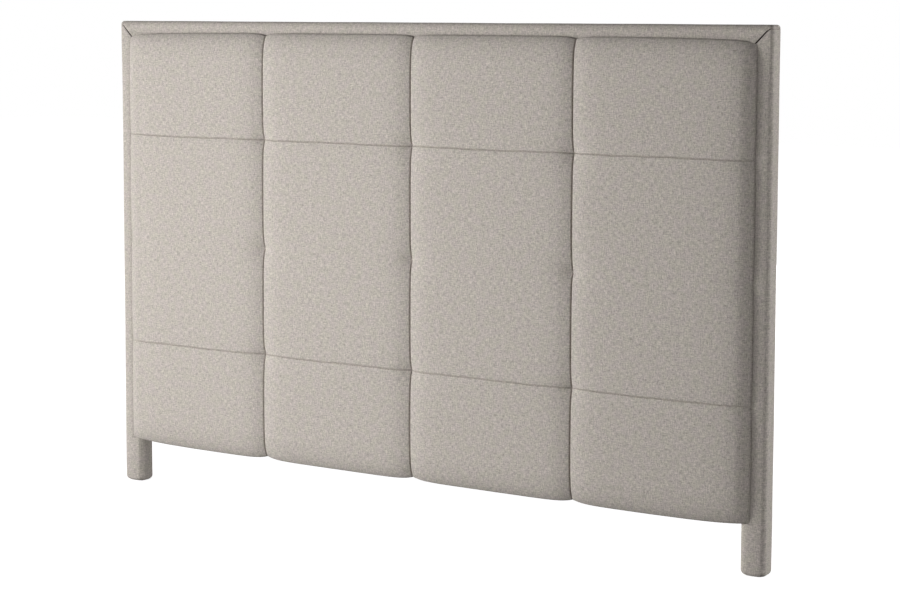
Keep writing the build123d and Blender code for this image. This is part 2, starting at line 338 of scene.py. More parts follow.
# The foot of each post is rounded over under its wadding, so the post is made anew for that. A ring
# is drawn in towards the post's middle by a quarter circle over the rounding.
post_corner, post_foot, post_core = 8 * MM, 11 * MM, 5 * MM
post_foot_rows = 7
for side, name in ((-1, "left"), (1, "right")):
    post_low, post_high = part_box(f"{name}_stile")
    post_width = post_high.x - post_low.x
    outline = section(post_low.y, post_high.y, post_width, post_corner, post_corner, post_corner)
    middle = np.array([post_width / 2, (post_low.y + post_high.y) / 2])
    turn = np.linspace(0, math.pi / 2, post_foot_rows)
    draws = np.append(post_foot * (1 - np.sin(turn)), np.zeros(2))
    levels = np.append(post_low.z + post_foot * (1 - np.cos(turn)), [post_high.z / 2, post_high.z])
    shape = outline - draws[:, None, None] * np.clip((outline - middle) / post_core, -1, 1)
    outer = post_low.x if side < 0 else post_high.x
    z = np.repeat(levels[:, None], len(outline), 1)
    rings = np.stack([outer - side * shape[..., 0], shape[..., 1], z], -1)
    piece = tube_piece(f"{name}_post", rings, outline, "Z", side > 0, upright_pine)
    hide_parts(f"{name}_stile")


# ---- The back panel and the cushion board
# Both are plywood. The panel is let in between the stiles and the rails, and the board carries the
# cushion. The plies show at the edges, where the bands through the thickness are cut.

birch_pale, birch_dark = (0.66, 0.51, 0.35, 1), (0.40, 0.26, 0.15, 1)
ply = 1.4 * MM
board_corner = 26 * MM


def make_plywood():
    """Face grain along the width, mixed half and half with bands of a wave along Y for the plies."""
    material, add = new_material("plywood")
    place = add("TexCoord").outputs["Object"]
    tone = wood_tone(add, place, "X")
    plies = add("TexWave", place, wave_type="BANDS", bands_direction="Y", Scale=math.pi / 10 / ply)
    mixed = add("Math", add("Math", tone, 0.5, operation="MULTIPLY"),
                add("Math", plies.outputs["Fac"], 0.5, operation="MULTIPLY"), operation="ADD")
    finish_surface(add, add("MixRGB", mixed, birch_pale, birch_dark), tone, 0.2, 0.2 * MM,
                   Roughness=0.6, Specular_IOR_Level=0.3)
    return material


plywood = make_plywood()
dress(plywood, "back_panel")

# The board's corners are rounded, so that the cloth folds round them without a lump.
board_low, board_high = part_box("cushion_board")
outline = section(board_low.z, board_high.z, board_high.x - board_low.x,
                  board_corner, board_corner, board_corner)
rings = np.stack(np.broadcast_arrays(board_low.x + outline[:, 0], [[board_high.y], [board_low.y]],
                                     outline[:, 1]), -1)
piece = tube_piece("cushion_plywood", rings, outline, "Y", False, plywood)
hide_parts("cushion_board")


# ---- The bed fixing inserts
# Four threaded steel sleeves with a bluish zinc coat, screwed up into the bottom rail in two pairs.

zinc_pale, zinc_blue = (0.66, 0.66, 0.65, 1), (0.50, 0.52, 0.55, 1)


def make_zinc():
    """Zinc-coated steel: cloudy spangle, as noise, in its colour and its gloss."""
    material, add = new_material("zinc_steel")
    spangle = add("TexNoise", add("TexCoord").outputs["Object"], Scale=420.0, Detail=3.0)
    gloss = add("MapRange", spangle, To_Min=0.24, To_Max=0.5)
    shader = add("BsdfPrincipled", Base_Color=add("MixRGB", spangle, zinc_pale, zinc_blue),
                 Roughness=gloss, Metallic=1.0, Specular_IOR_Level=0.5)
    add("OutputMaterial", shader)
    return material


zinc_material = make_zinc()
dress(zinc_material, "bed_fixing_inserts")


# ---- The upholstery cloth
# A plain weave of thick grey-beige melange yarn, the same on the frame and on the cushion. The maker
# cuts it from one roll, so the weave lies straight in each piece.

cloth_light, cloth_dark = (0.685, 0.636, 0.592, 1), (0.33, 0.307, 0.285, 1)
rosy, sandy = (1.0, 0.968, 0.968, 1), (0.988, 0.986, 0.935, 1)
# The dark tone of painted shade, multiplied in by a point attribute from 0 to 1.
painted_shade_color = (0.16, 0.15, 0.14, 1)
fuzz_tint = (0.9, 0.87, 0.82, 1)
yarn = 1.9 * MM
slub_stretches = ((90, 420, 0), (420, 90, 0))
weave_relief, weave_shade = 0.5, 0.035


def drawn_out(add, cut, stretch, turn=0.0, **values):
    """Noise over the cut cloth, stretched along the threads and turned by an angle."""
    place = add("Mapping", cut, Rotation=(0, 0, turn), Scale=stretch)
    return add("TexNoise", place, noise_dimensions="2D", Scale=1.0, Detail=2.0, **values)


def make_cloth():
    """Warp and weft are two sines over the cut cloth, and their product is the weave.

    Slubs and melange are noise, the slubs stretched along the yarns. Their mean, with a little of the
    weave, runs from the dark yarn to the light one. A slow noise drifts between a rosy and a sandy
    tint. A point attribute multiplies in a dark tone, as painted shade in creases, folds and seams.
    """
    material, add = new_material("upholstery_cloth")
    cut = add("UVMap", uv_map="cut")
    ways = add("SeparateXYZ", cut)
    waves = []
    for axis in ("X", "Y"):
        turned = add("Math", ways.outputs[axis], math.pi / yarn, operation="MULTIPLY")
        waves.append(add("Math", turned, operation="SINE"))
    weave = add("Math", *waves, operation="MULTIPLY")
    slubs = [drawn_out(add, cut, stretch, Roughness=0.6) for stretch in slub_stretches]
    mottle = add("TexNoise", cut, noise_dimensions="2D", Scale=330.0, Detail=3.0, Roughness=0.65)
    tone = add("Math", add("Math", *slubs, operation="ADD"), mottle, operation="ADD")
    tone = add("Math", tone, len(slubs) + 1, operation="DIVIDE")
    crossing = add("Math", weave, weave_shade, operation="MULTIPLY")
    tone = add("Math", tone, crossing, operation="ADD")
    spread = add("MapRange", tone, From_Min=0.36, From_Max=0.64)
    drift = add("TexNoise", cut, noise_dimensions="2D", Scale=42.0, Detail=1.0, Roughness=0.5)
    hue = add("MapRange", drift, From_Min=0.35, From_Max=0.65)
    yarns = add("MixRGB", spread, cloth_dark, cloth_light)
    tinted = add("MixRGB", 1.0, yarns, add("MixRGB", hue, rosy, sandy), blend_type="MULTIPLY")
    # Painted shade: the point attribute mixes in the dark tone.
    painted_shade = add("Attribute", attribute_name="painted_shade").outputs["Fac"]
    color = add("MixRGB", painted_shade, tinted, painted_shade_color, blend_type="MULTIPLY")
    raised = add("Math", weave, weave_relief, operation="MULTIPLY")
    finish_surface(add, color, add("Math", raised, tone, operation="ADD"), 0.35, 0.6 * MM,
                   Roughness=0.92, Specular_IOR_Level=0.18,
                   Sheen_Weight=0.25, Sheen_Roughness=0.6, Sheen_Tint=fuzz_tint)
    return material


cloth_material = make_cloth()


# ---- The covered stiles
# Each stile is a softwood post that runs down as a leg, wrapped in wadding and then in cloth. The
# cloth is folded in under the foot and, at the top, tucked under the cloth of the top rail.

half_width, top_height = 900 * MM, 1200 * MM
leg_width = 60 * MM
low_front, high_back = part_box("left_cover")[0].y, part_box("left_cover")[1].y
foot = 0.4 * MM
front_edge, back_edge, foot_edge = 8 * MM, 2.5 * MM, 12 * MM
soft_outer, soft_inner, soft_run = 11 * MM, 13 * MM, 120 * MM
border_dome, soft_dome = 1.2 * MM, 2.6 * MM
corner_edge, corner_start = 9 * MM, 0.4
foot_rows, post_rows, climb_rows = 9, 230, 14
climb_run, mitre_overlap = 20 * MM, 0.3 * MM
notch_away = np.array([5.5, 3.0, 1.9, 0.0]) * MM
notch_dip = np.array([0.0, 0.2, 0.9, 3.8]) * MM
# Painted shade in the mitre notch, growing to full towards its bottom.
notch_painted_shade = (0.0, 0.25, 1.0, 1.0)
pull_height, stile_pulls = 0.25 * MM, (21, 8.3)
border_width, cushion_low = 34 * MM, 117 * MM
# Painted shade beside the cushion, fading with the distance from its edge.
crease_painted_shade, crease_reach = 0.34, 9 * MM
# Painted shade: a little over all the frame's cloth, and more on the left leg below the cushion.
frame_painted_shade, left_leg_shade = 0.07, 0.12


def past_corner(p):
    """0 to 1, as p goes from a part of the outer corner's radius to the whole radius."""
    return np.clip((p - corner_start * corner_edge) / ((1 - corner_start) * corner_edge), 0, 1)


def uneven(along, pulls, starts):
    """How unevenly the cloth is pulled: a small height times two sines of different lengths."""
    first, second = (np.sin(along * pull + start) for pull, start in zip(pulls, starts))
    return pull_height * first * second


def crease_shade(p, y, width):
    """Shade beside the cushion: exp(-d / reach), where d is the distance to its edge on the front.

    Behind the front, d is the width of the whole section.
    """
    away = np.where(y < low_front + front_edge, np.abs(p - border_width), width)
    return crease_painted_shade * np.exp(-away / crease_reach)


def stile_rings(side):
    """Rings up the stile, the section they come from, and the shade at each point.

    A ring at height z is the section, drawn in over the foot's rounding. The share of the rounding is
    a quarter circle: 1 - sqrt(1 - (1 - h / r) squared). The top ends on the mitre: a point that lies p
    in from the outer side ends p below the top, and at least the corner's radius below it. There the
    cloth dips into the fold under the top rail's cloth, and shade is painted in the dip. Below the mitre
    the crisp section of the rail passes over into a softer one. Shade is painted beside the cushion, a
    little over all the frame's cloth, and on the left leg, growing downwards from the cushion.
    """
    ring = section(low_front, high_back, leg_width, front_edge, soft_inner, back_edge, border_dome)
    soft_ring = section(low_front, high_back, leg_width, soft_outer, soft_inner, back_edge, soft_dome)
    p, y = ring.T
    middle_p, middle_y = leg_width / 2, (low_front + high_back) / 2
    z_foot = foot + foot_edge * (1 - np.cos(np.linspace(0, math.pi / 2, foot_rows)))
    z_post = np.linspace(foot + foot_edge, top_height - leg_width - climb_run, post_rows)[1:]
    z = np.concatenate([z_foot, z_post])
    share = 1 - np.sqrt(np.clip(1 - (1 - np.clip((z - foot) / foot_edge, 0, 1)) ** 2, 0, 1))
    z_end = top_height - np.maximum(p, corner_edge) + mitre_overlap
    climb = np.linspace(0, 1, climb_rows)[1:, None]
    z_climb = z[-1] + (z_end - notch_away[0] - z[-1])[None] * climb
    z_notch = z_end[None] - notch_away[1:, None]
    z_rows = np.concatenate([np.repeat(z[:, None], len(p), 1), z_climb, z_notch])
    above = len(z_rows) - len(z)
    draw = foot_edge * np.append(share, np.zeros(above))[:, None]
    draw = np.repeat(draw, len(p), 1)
    draw[-len(notch_dip) + 1:] += notch_dip[1:, None] * past_corner(p)
    softness = np.clip((top_height - leg_width - z_rows) / soft_run, 0, 1)
    p_rows = p + softness * (soft_ring[:, 0] - p)
    y_rows = y + softness * (soft_ring[:, 1] - y)
    p_rows = p_rows - draw * np.clip((p_rows - middle_p) / (middle_p - front_edge), -1, 1)
    y_rows = y_rows - draw * np.clip((y_rows - middle_y) / (middle_y - low_front - front_edge), -1, 1)
    x = side * (half_width - p_rows - uneven(z_rows, stile_pulls, (side, 2 * side)))
    # Painted shade: in the mitre notch, beside the cushion, on the left leg, and a little everywhere.
    painted_shade = np.zeros_like(z_rows)
    painted_shade[-len(notch_painted_shade):] = np.array(notch_painted_shade)[:, None] * past_corner(p)
    painted_shade += crease_shade(p_rows, y, leg_width) * (z_rows > cushion_low)
    if side < 0:
        painted_shade += left_leg_shade * np.clip((cushion_low - z_rows) / leg_width, 0, 1)
    return np.stack([x, y_rows, z_rows], -1), ring, np.clip(painted_shade, frame_painted_shade, 1)


for side, name in ((-1, "left"), (1, "right")):
    rings, outline, painted_shade = stile_rings(side)
    piece = tube_piece(f"{name}_stile_cloth", rings, outline, "Z", side > 0, cloth_material, painted_shade)
    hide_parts(f"{name}_cover", f"{name}_wadding")


# ---- The covered top rail
# Wadding and cloth round the top rail. Its cloth is folded over the stiles' cloth: along a mitre on
# the front and the back, and over the rounded corner on the outside.

rail_height = 64 * MM
mitre_away = np.array([0.0, 1.3, 1.9, 2.5, 3.3, 4.3, 5.4, 6.8, 8.5]) * MM
mitre_lift = np.array([-3.8, -0.3, 0.5, 0.8, 0.9, 0.9, 0.9, 0.88, 0.85]) * MM
# Painted shade in the mitre fold, over its first rings.
mitre_painted_shade = (1.0, 1.0, 0.3)
mitre_blend = 3 * MM
side_dip, side_lift = 0.5 * MM, 0.3 * MM
settle_rows, settle_power, settle_run = 16, 1.3, 60 * MM
across_rows = 240
rail_pulls, top_face = (17, 7.1), 2 * MM
# Painted shade along the rounded top front edge.
edge_painted_shade = 0.2


def rail_rings():
    """Rings along the top rail, the section they come from, and the shade at each point.

    The section's p now runs down from the top, and each ring is carried from the left mitre to the
    right one. A point p below the top goes out to p from the outer side. A point nearer the top than
    the corner's radius r goes out to r and then turns a quarter round the corner's centre, which lies
    r in and r down. The first rings dip into the fold, where shade is painted on them, and rise out
    of it, and the rise fades towards the middle. Shade is also painted beside the cushion, along the
    rounded top front edge, and a little over all the rail.
    """
    ring = section(low_front, high_back, rail_height, front_edge, soft_inner, back_edge, border_dome)
    p, y = ring.T
    middle_y = (low_front + high_back) / 2
    angle = np.linspace(math.pi / 2, 0, len(mitre_away))[:, None]
    reach = half_width - np.maximum(p, corner_edge)
    radius = np.clip(corner_edge - p, 0, None)
    flat_part = np.clip((p - corner_edge) / mitre_blend, 0, 1)
    x_turn = -(reach + radius * np.sin(angle)) + mitre_away[:, None] * flat_part
    z_turn = top_height - np.where(p < corner_edge, corner_edge - radius * np.cos(angle), p)
    lift_turn = np.repeat(mitre_lift[:, None], len(p), 1)
    share = (np.linspace(0, 1, settle_rows)[1:] ** settle_power)[:, None]
    far = half_width - rail_height - settle_run
    x_run = x_turn[-1] + (-far - x_turn[-1]) * share
    x_left = np.concatenate([x_turn, x_run])
    z_left = np.concatenate([z_turn, np.repeat((top_height - p)[None], len(share), 0)])
    lift_left = np.concatenate([lift_turn, np.repeat(mitre_lift[-1] * (1 - share), len(p), 1)])
    across = np.repeat(np.linspace(-far, far, across_rows)[1:-1, None], len(p), 1)
    x = np.concatenate([x_left, across, -x_left[::-1]])
    z = np.concatenate([z_left, np.repeat((top_height - p)[None], len(across), 0), z_left[::-1]])
    lift = np.concatenate([lift_left, np.zeros_like(across), lift_left[::-1]])
    away = np.clip((y - middle_y) / (middle_y - low_front - front_edge), -1, 1)
    lift_y = np.where((away > 0) & (lift > 0), 0, lift) * past_corner(p)
    at_corner = (np.abs(x) > reach) * (p < corner_edge)
    x = x + np.sign(x) * np.clip(lift, -side_dip, side_lift) * at_corner
    z = z + uneven(x, rail_pulls, (1, 0)) * (p < top_face)
    # Painted shade: mitre folds, beside the cushion, the top front edge, and a little everywhere.
    painted_shade = np.concatenate([mitre_painted_shade, np.zeros(len(x) - 2 * len(mitre_painted_shade)), mitre_painted_shade[::-1]])
    painted_shade = painted_shade[:, None] * past_corner(p) + crease_shade(p, y, rail_height)
    painted_shade = painted_shade + edge_painted_shade * ((p < front_edge) & (y < low_front + front_edge))
    return np.stack([x, y + lift_y * away, z], -1), ring, np.maximum(painted_shade, frame_painted_shade)


rings, outline, painted_shade = rail_rings()
piece = tube_piece("top_rail_cloth", rings, outline, "X", False, cloth_material, painted_shade)
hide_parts("top_cover", "top_wadding")


# ---- The foot plates
# A thin moulded plate under each leg. It lies inside the rounded end of the leg's cloth, and its pin is
# pressed into the post.

plate_inset, plate_corner = 12 * MM, 4 * MM
rim_share, pin_radius, pin_tip = 0.97, 2.5 * MM, 0.7
plate_levels = np.array([0.0, 0.4, 1.6, 2.0, 2.0, 17.0, 18.0]) * MM
plastic_black, plastic_grey = (0.016, 0.016, 0.017, 1), (0.034, 0.034, 0.036, 1)


def make_plastic():
    """Black polypropylene with a fine spark-eroded grain, as noise."""
    material, add = new_material("black_plastic")
    grain = add("TexNoise", add("TexCoord").outputs["Object"], Scale=1600.0, Detail=2.0)
    finish_surface(add, add("MixRGB", grain, plastic_black, plastic_grey), grain, 0.3, 0.1 * MM,
                   Roughness=0.48, Specular_IOR_Level=0.45)
    return material


# Each shape belongs to one level: the plate, its rim drawn in below and above, and then the pin.
plastic_material = make_plastic()
outline = section(low_front + plate_inset, high_back - plate_inset, leg_width - 2 * plate_inset,
                  plate_corner, plate_corner, plate_corner)
outline[:, 0] += plate_inset
plate_middle = np.array([leg_width / 2, (low_front + high_back) / 2])
spoke = outline - plate_middle
pin = pin_radius * spoke / np.linalg.norm(spoke, axis=1, keepdims=True)
shapes = plate_middle + np.stack([spoke * rim_share, spoke, spoke, spoke * rim_share,
                                  pin, pin, pin * pin_tip])
for side, name in ((-1, "left"), (1, "right")):
    z = np.repeat(plate_levels[:, None], len(outline), 1)
    rings = np.stack([side * (half_width - shapes[..., 0]), shapes[..., 1], z], -1)
    piece = tube_piece(f"{name}_foot_pad", rings, outline, "Z", side > 0, plastic_material)
    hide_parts(f"{name}_foot_plate")


# ---- The quilted cushion
# Four columns of cloth over fibre fill and foam. Two sewn seams and a soft crease cross them, and
# threads pull them down at nine points in the grooves. The cloth wraps the board behind.

cushion_high, cushion_half = 1166 * MM, 862 * MM
rise = 28.6 * MM
column_count = 4
pitch = 2 * cushion_half / column_count
groove_gap = 1.0 * MM

seam_places = (910 * MM, 641 * MM, 376 * MM)
seam_depths = (2.2 * MM, 2.6 * MM, 2.2 * MM)
seam_reach = 9 * MM
seam_softness = (0.5 * MM, 4 * MM, 0.5 * MM)
thread_depths = (3.4 * MM, 0.0, 3.4 * MM)
thread_width = 1.3 * MM
# Painted shade along each sewn seam's thread line.
thread_painted_shades = (0.27, 0.0, 0.27)
seam_wander, wander_reach = 0.55 * MM, 14 * MM
wander_waves = ((21, 2.1, 1.0), (67, 4.0, 0.6))

node_depth, node_reach, node_squeeze = 8.0 * MM, 22 * MM, 0.8
outer_node_share = 0.5
bridge_height, bridge_width, bridge_from = 2.6 * MM, 4 * MM, 0.6
closing_share, closing_reach = 0.45, 2 * MM
outer_draw, outer_draw_reach = 1.6 * MM, 24 * MM
groove_drop, groove_drop_reach = 7.2 * MM, 34 * MM
outer_drop, outer_drop_reach = 9.0 * MM, 55 * MM
end_drop, end_drop_reach = 8.5 * MM, 46 * MM
outer_reach, outer_wall = 31 * MM, 0.30
groove_reach, groove_wall = 2.8 * MM, 0.76
end_reach, end_wall = 35 * MM, 0.28
wall_columns, wall_rows = 4, 3
end_tuck, side_flare = 3 * MM, 8.0 * MM
tuck_height, tuck_reach = 4 * MM, 8 * MM
crease_height = 12 * MM
low_bow, low_bow_reach = 8.5 * MM, 80 * MM
low_corner_draw, top_corner_draw, corner_draw_reach = 0.5 * MM, 4.5 * MM, 20 * MM
corner_drops, corner_drop_reach = (2.0 * MM, 6.0 * MM), 28 * MM
top_bow, top_bow_reach = 6.4 * MM, 160 * MM
low_scallop, low_scallop_reach = 7.4 * MM, 24 * MM
top_scallop, top_scallop_reach = 5.4 * MM, 16 * MM
bend_run = 60 * MM


def shoulder(reach, wall, wall_steps, arc_steps):
    """How far in and how high (0 to 1) the points of a side are: a wall, then a quarter ellipse."""
    angle = np.linspace(0, math.pi / 2, arc_steps + 1)
    inward = np.concatenate([np.zeros(wall_steps), reach * (1 - np.cos(angle))])
    straight = np.linspace(0, wall, wall_steps + 1)[:-1]
    return inward, np.concatenate([straight, wall + (1 - wall) * np.sin(angle)])


def spaced(start, end, step):
    """Evenly spaced places between two others, without them."""
    return np.linspace(start, end, max(2, int(round((end - start) / step))) + 1)[1:-1]


def column_places(left, right, outer_left, outer_right, step, arc_steps):
    """Places across a column, and the share of the full height there: a shoulder at each side."""
    sides = []
    for outer in (outer_left, outer_right):
        reach, wall = (outer_reach, outer_wall) if outer else (groove_reach, groove_wall)
        sides.append(shoulder(reach, wall, wall_columns, arc_steps))
    (in_left, high_left), (in_right, high_right) = sides
    x_left, x_right = left + in_left, right - in_right[::-1]
    middle = spaced(x_left[-1], x_right[0], step)
    return (np.concatenate([x_left, middle, x_right]),
            np.concatenate([high_left, np.ones(len(middle)), high_right[::-1]]))


def column_heights(step, arc_steps, near):
    """Places up a column, the share of the full height there, and the rows that lie on seams.

    Beside each seam the rows keep the distances in near, so that the seam's profile is drawn finely.
    """
    inward, high = shoulder(end_reach, end_wall, wall_rows, arc_steps)
    rows, start = [cushion_low + inward], cushion_low + inward[-1]
    for place in sorted(seam_places):
        rows.append(spaced(start, place - near[-1], step))
        rows.append(place + np.concatenate([-near[::-1], [0], near]))
        start = place + near[-1]
    top_rows = cushion_high - inward[::-1]
    rows += [spaced(start, top_rows[0], step), top_rows]
    z = np.concatenate(rows)
    share = np.ones(len(z))
    share[:len(high)], share[-len(high):] = high, high[::-1]
    return z, share, np.isin(z, seam_places)


def column_surface(edges, x, high_x, z, high_z):
    """The cloth of a column as a grid of points (rows up, columns across).

    The height over the frame is the share across, times the share up, times the full rise less the
    dents. The crown falls off towards a side by drop (1 - tanh(d / reach)), and at the cushion's four
    corners by exp(-(across + up) / reach). A seam dents it by exp(-s / reach), where s is the distance
    to the seam, rounded off by its softness, and its thread by a narrow bell. A sewn point adds
    exp(-r / reach) of its depth round itself, and there a bell closes the groove, because the two
    columns are sewn together.

    Near the frame, where exp(-height / tuck_height) is large, the outer sides flare and the ends are
    tucked in. The upper and lower ends bow outwards by 1 - exp(-e / reach), where e is the distance to
    the cushion's outer side, and come back towards the grooves by exp(-d / reach). The seams draw the
    outer sides in, and the four corners are drawn in as they fall off. The seams wander by sines.
    """
    left, right, outer_left, outer_right = edges
    grid_x, grid_z = np.meshgrid(x, z)
    sides = ((grid_x - left, outer_left, 1), (right - grid_x, outer_right, -1))
    ends = (grid_z - cushion_low, cushion_high - grid_z)
    share_x = np.repeat(high_x[None, :], len(z), 0)
    full = np.full(grid_x.shape, rise)
    for away, outer, _ in sides:
        drop, reach = (outer_drop, outer_drop_reach) if outer else (groove_drop, groove_drop_reach)
        full -= drop * (1 - np.tanh(away / reach))
    for end, corner_drop in zip(ends, corner_drops):
        full -= end_drop * (1 - np.tanh(end / end_drop_reach))
        for away, outer, _ in sides:
            full -= outer * corner_drop * np.exp(-(away + end) / corner_drop_reach)
    wander, closing = np.zeros_like(full), np.zeros_like(full)
    for number, place in enumerate(seam_places):
        off = grid_z - place
        near_seam = np.exp(-(off / wander_reach) ** 2)
        slow, quick = (size * np.sin(grid_x * rate + start * number)
                       for rate, start, size in wander_waves)
        wander += seam_wander * near_seam * (slow + quick)
        rounded = np.hypot(off, seam_softness[number]) - seam_softness[number]
        full -= seam_depths[number] * np.exp(-rounded / seam_reach)
        full -= thread_depths[number] * np.exp(-(off / thread_width) ** 2)
        for away, outer, _ in sides:
            depth = (outer_node_share if outer else 1) * node_depth
            full -= depth * np.exp(-np.hypot(away * node_squeeze, off) / node_reach)
            if not outer:
                bridge = np.exp(-(off / bridge_height) ** 2) * np.exp(-(away / bridge_width) ** 2)
                share_x = share_x + (1 - share_x) * bridge * (share_x > bridge_from)
                closing += bridge
    height = full * share_x * high_z[:, None]

    low_share = np.exp(-height / tuck_height)
    draw = np.zeros_like(full)
    for away, outer, way in sides:
        if outer:
            draw -= way * side_flare * low_share * np.exp(-away / tuck_reach)
            for place in seam_places:
                draw += way * outer_draw * np.exp(-np.abs(grid_z - place) / outer_draw_reach
                                                  - away / (2 * outer_draw_reach))
        else:
            draw -= way * closing_share * groove_gap * closing * np.exp(-away / closing_reach)
    edge_away = cushion_half - np.abs(grid_x)
    low_bend = low_bow * (np.exp(-edge_away / low_bow_reach) - 1)
    top_bend = top_bow * (np.exp(-edge_away / top_bow_reach) - 1)
    for away, outer, way in sides:
        if outer:
            low_corner = low_corner_draw * np.exp(-(away + ends[0]) / corner_draw_reach)
            top_corner = top_corner_draw * np.exp(-(away + ends[1]) / corner_draw_reach)
            draw += way * (low_corner + top_corner)
            low_bend += low_corner
            top_bend += top_corner
        else:
            low_bend += low_scallop * np.exp(-away / low_scallop_reach)
            top_bend += top_scallop * np.exp(-away / top_scallop_reach)
    low_bend += end_tuck * low_share * np.exp(-ends[0] / tuck_reach)
    top_bend += end_tuck * low_share * np.exp(-ends[1] / tuck_reach)
    shift = low_bend * np.exp(-ends[0] / bend_run) - top_bend * np.exp(-ends[1] / bend_run)
    return np.stack([grid_x + draw, low_front - height, grid_z + shift + wander], -1)


def patch_faces(rows, columns):
    """Quads of a grid, seen from the front, and the one flat face that closes it behind."""
    r, c = np.meshgrid(np.arange(rows - 1), np.arange(columns - 1), indexing="ij")
    quads = np.stack([r * columns + c, r * columns + c + 1,
                      (r + 1) * columns + c + 1, (r + 1) * columns + c], -1).reshape(-1, 4)
    index = np.arange(rows * columns).reshape(rows, columns)
    rim = np.concatenate([index[0, :-1], index[:-1, -1], index[-1, :0:-1], index[:0:-1, 0]])
    return quads, rim[::-1]


def spline_share(places, stops):
    """How much each stop (columns) counts at each place (rows), by the cubic B-spline.

    At a distance d of less than one stop it is 2/3 - d squared + half of d cubed, and further out, up
    to two stops, a sixth of (2 - d) cubed.
    """
    away = np.abs(np.interp(places, stops, np.arange(len(stops)))[:, None] - np.arange(len(stops)))
    near, far = 2 / 3 - away ** 2 + away ** 3 / 2, np.clip(2 - away, 0, None) ** 3 / 6
    share = np.where(away < 1, near, far)
    return share / share.sum(1, keepdims=True)


swell_frames, swell_pressure, swell_most = 20, 4.0, 3.2 * MM
coarse_step, coarse_arc, coarse_near = 9 * MM, 4, np.array([4.5, 9.0]) * MM
held_columns = 6


def swelling_pad(name, edges):
    """A coarse closed pad under Cloth, held at its rim, its sewn seams and the bottom of its grooves."""
    x, high_x = column_places(*edges, coarse_step, coarse_arc)
    z, high_z, on_seam = column_heights(coarse_step, coarse_arc, coarse_near)
    points = column_surface(edges, x, high_x, z, high_z)
    rows, columns = points.shape[:2]
    quads, rim = patch_faces(rows, columns)
    held = np.repeat(on_seam[:, None] & ~np.isclose(z, seam_places[1])[:, None], columns, 1)
    held[[0, 1, -2, -1]] = True
    held[:, [0, 1, -2, -1]] = True
    outer_left, outer_right = edges[2:]
    if not outer_left:
        held[:, :held_columns] = True
    if not outer_right:
        held[:, -held_columns:] = True
    mesh = bpy.data.meshes.new(name)
    mesh.from_pydata(points.reshape(-1, 3).tolist(), [], quads.tolist() + [rim.tolist()])
    pad = bpy.data.objects.new(name, mesh)
    scene.collection.objects.link(pad)
    group = pad.vertex_groups.new(name="held")
    group.add(np.flatnonzero(held.ravel()).tolist(), 1.0, "REPLACE")
    cloth = pad.modifiers.new("swelling", "CLOTH")
    cloth.settings.quality = 5
    cloth.settings.mass = 0.3
    cloth.settings.tension_stiffness = cloth.settings.compression_stiffness = 12
    cloth.settings.bending_stiffness = 1.2
    cloth.settings.vertex_group_mass = "held"
    cloth.settings.use_pressure = True
    cloth.settings.uniform_pressure_force = swell_pressure
    cloth.settings.effector_weights.gravity = 0
    cloth.collision_settings.use_collision = False
    cloth.point_cache.frame_start, cloth.point_cache.frame_end = 1, swell_frames
    return pad, points, x, z


def column_edges(number):
    """Where a column's sides stand, and whether each is an outer side of the cushion."""
    outer_left, outer_right = number == 0, number == column_count - 1
    left = -cushion_half + pitch * number + (0 if outer_left else groove_gap / 2)
    right = -cushion_half + pitch * (number + 1) - (0 if outer_right else groove_gap / 2)
    return left, right, outer_left, outer_right


swollen = {}
pads = [swelling_pad(f"swelling_pad_{number + 1}", column_edges(number))
        for number in range(column_count)]
for frame_number in range(1, swell_frames + 1):
    scene.frame_set(frame_number)
graph = bpy.context.evaluated_depsgraph_get()
for number, (pad, points, x, z) in enumerate(pads):
    settled = np.empty(points.size, dtype=np.float32)
    pad.evaluated_get(graph).data.vertices.foreach_get("co", settled)
    moved = settled.reshape(points.shape) - points
    length = np.linalg.norm(moved, axis=-1, keepdims=True)
    kept = moved * swell_most * np.tanh(length / swell_most) / np.maximum(length, 1e-9)
    swollen[number] = (kept, x, z)
for pad, *_ in pads:
    mesh = pad.data
    bpy.data.objects.remove(pad)
    bpy.data.meshes.remove(mesh)
scene.frame_set(1)

fine_steps, fine_arcs = (5.0 * MM, 5.5 * MM), (12, 14)
fine_near = np.array([0.3, 0.6, 0.9, 1.25, 1.7, 2.3, 3.2, 4.6, 6.8, 10, 14, 19]) * MM
roll_pitch, rim_shade = 0.61, 1.5


def cloth_length(surface, axis):
    """Length over the cloth along one way of its grid, counted from the grid's middle line."""
    steps = np.linalg.norm(np.diff(surface, axis=axis), axis=-1)
    length = np.insert(np.cumsum(steps, axis), 0, 0, axis)
    return length - np.take(length, [length.shape[axis] // 2], axis)


def column_painted_shade(surface, x, z):
    """Shade in the crease round the cushion: exp(-height / crease_height), near its rim alone.

    Each sewn seam adds a bell of painted shade as narrow as its thread, which fades towards the
    cushion's outer sides.
    """
    away = cushion_half - np.abs(np.repeat(x[None], len(z), 0))
    end_away = np.minimum(z - cushion_low, cushion_high - z)[:, None]
    at_rim = (away < rim_shade * outer_reach) | (end_away < rim_shade * end_reach)
    painted_shade = crease_painted_shade * np.exp((surface[..., 1] - low_front) / crease_height) * at_rim
    for share, place in zip(thread_painted_shades, seam_places):
        line = share * np.exp(-((z - place) / thread_width) ** 2)
        painted_shade += line[:, None] * (1 - np.exp(-np.maximum(away, 0) / outer_reach))
    return painted_shade


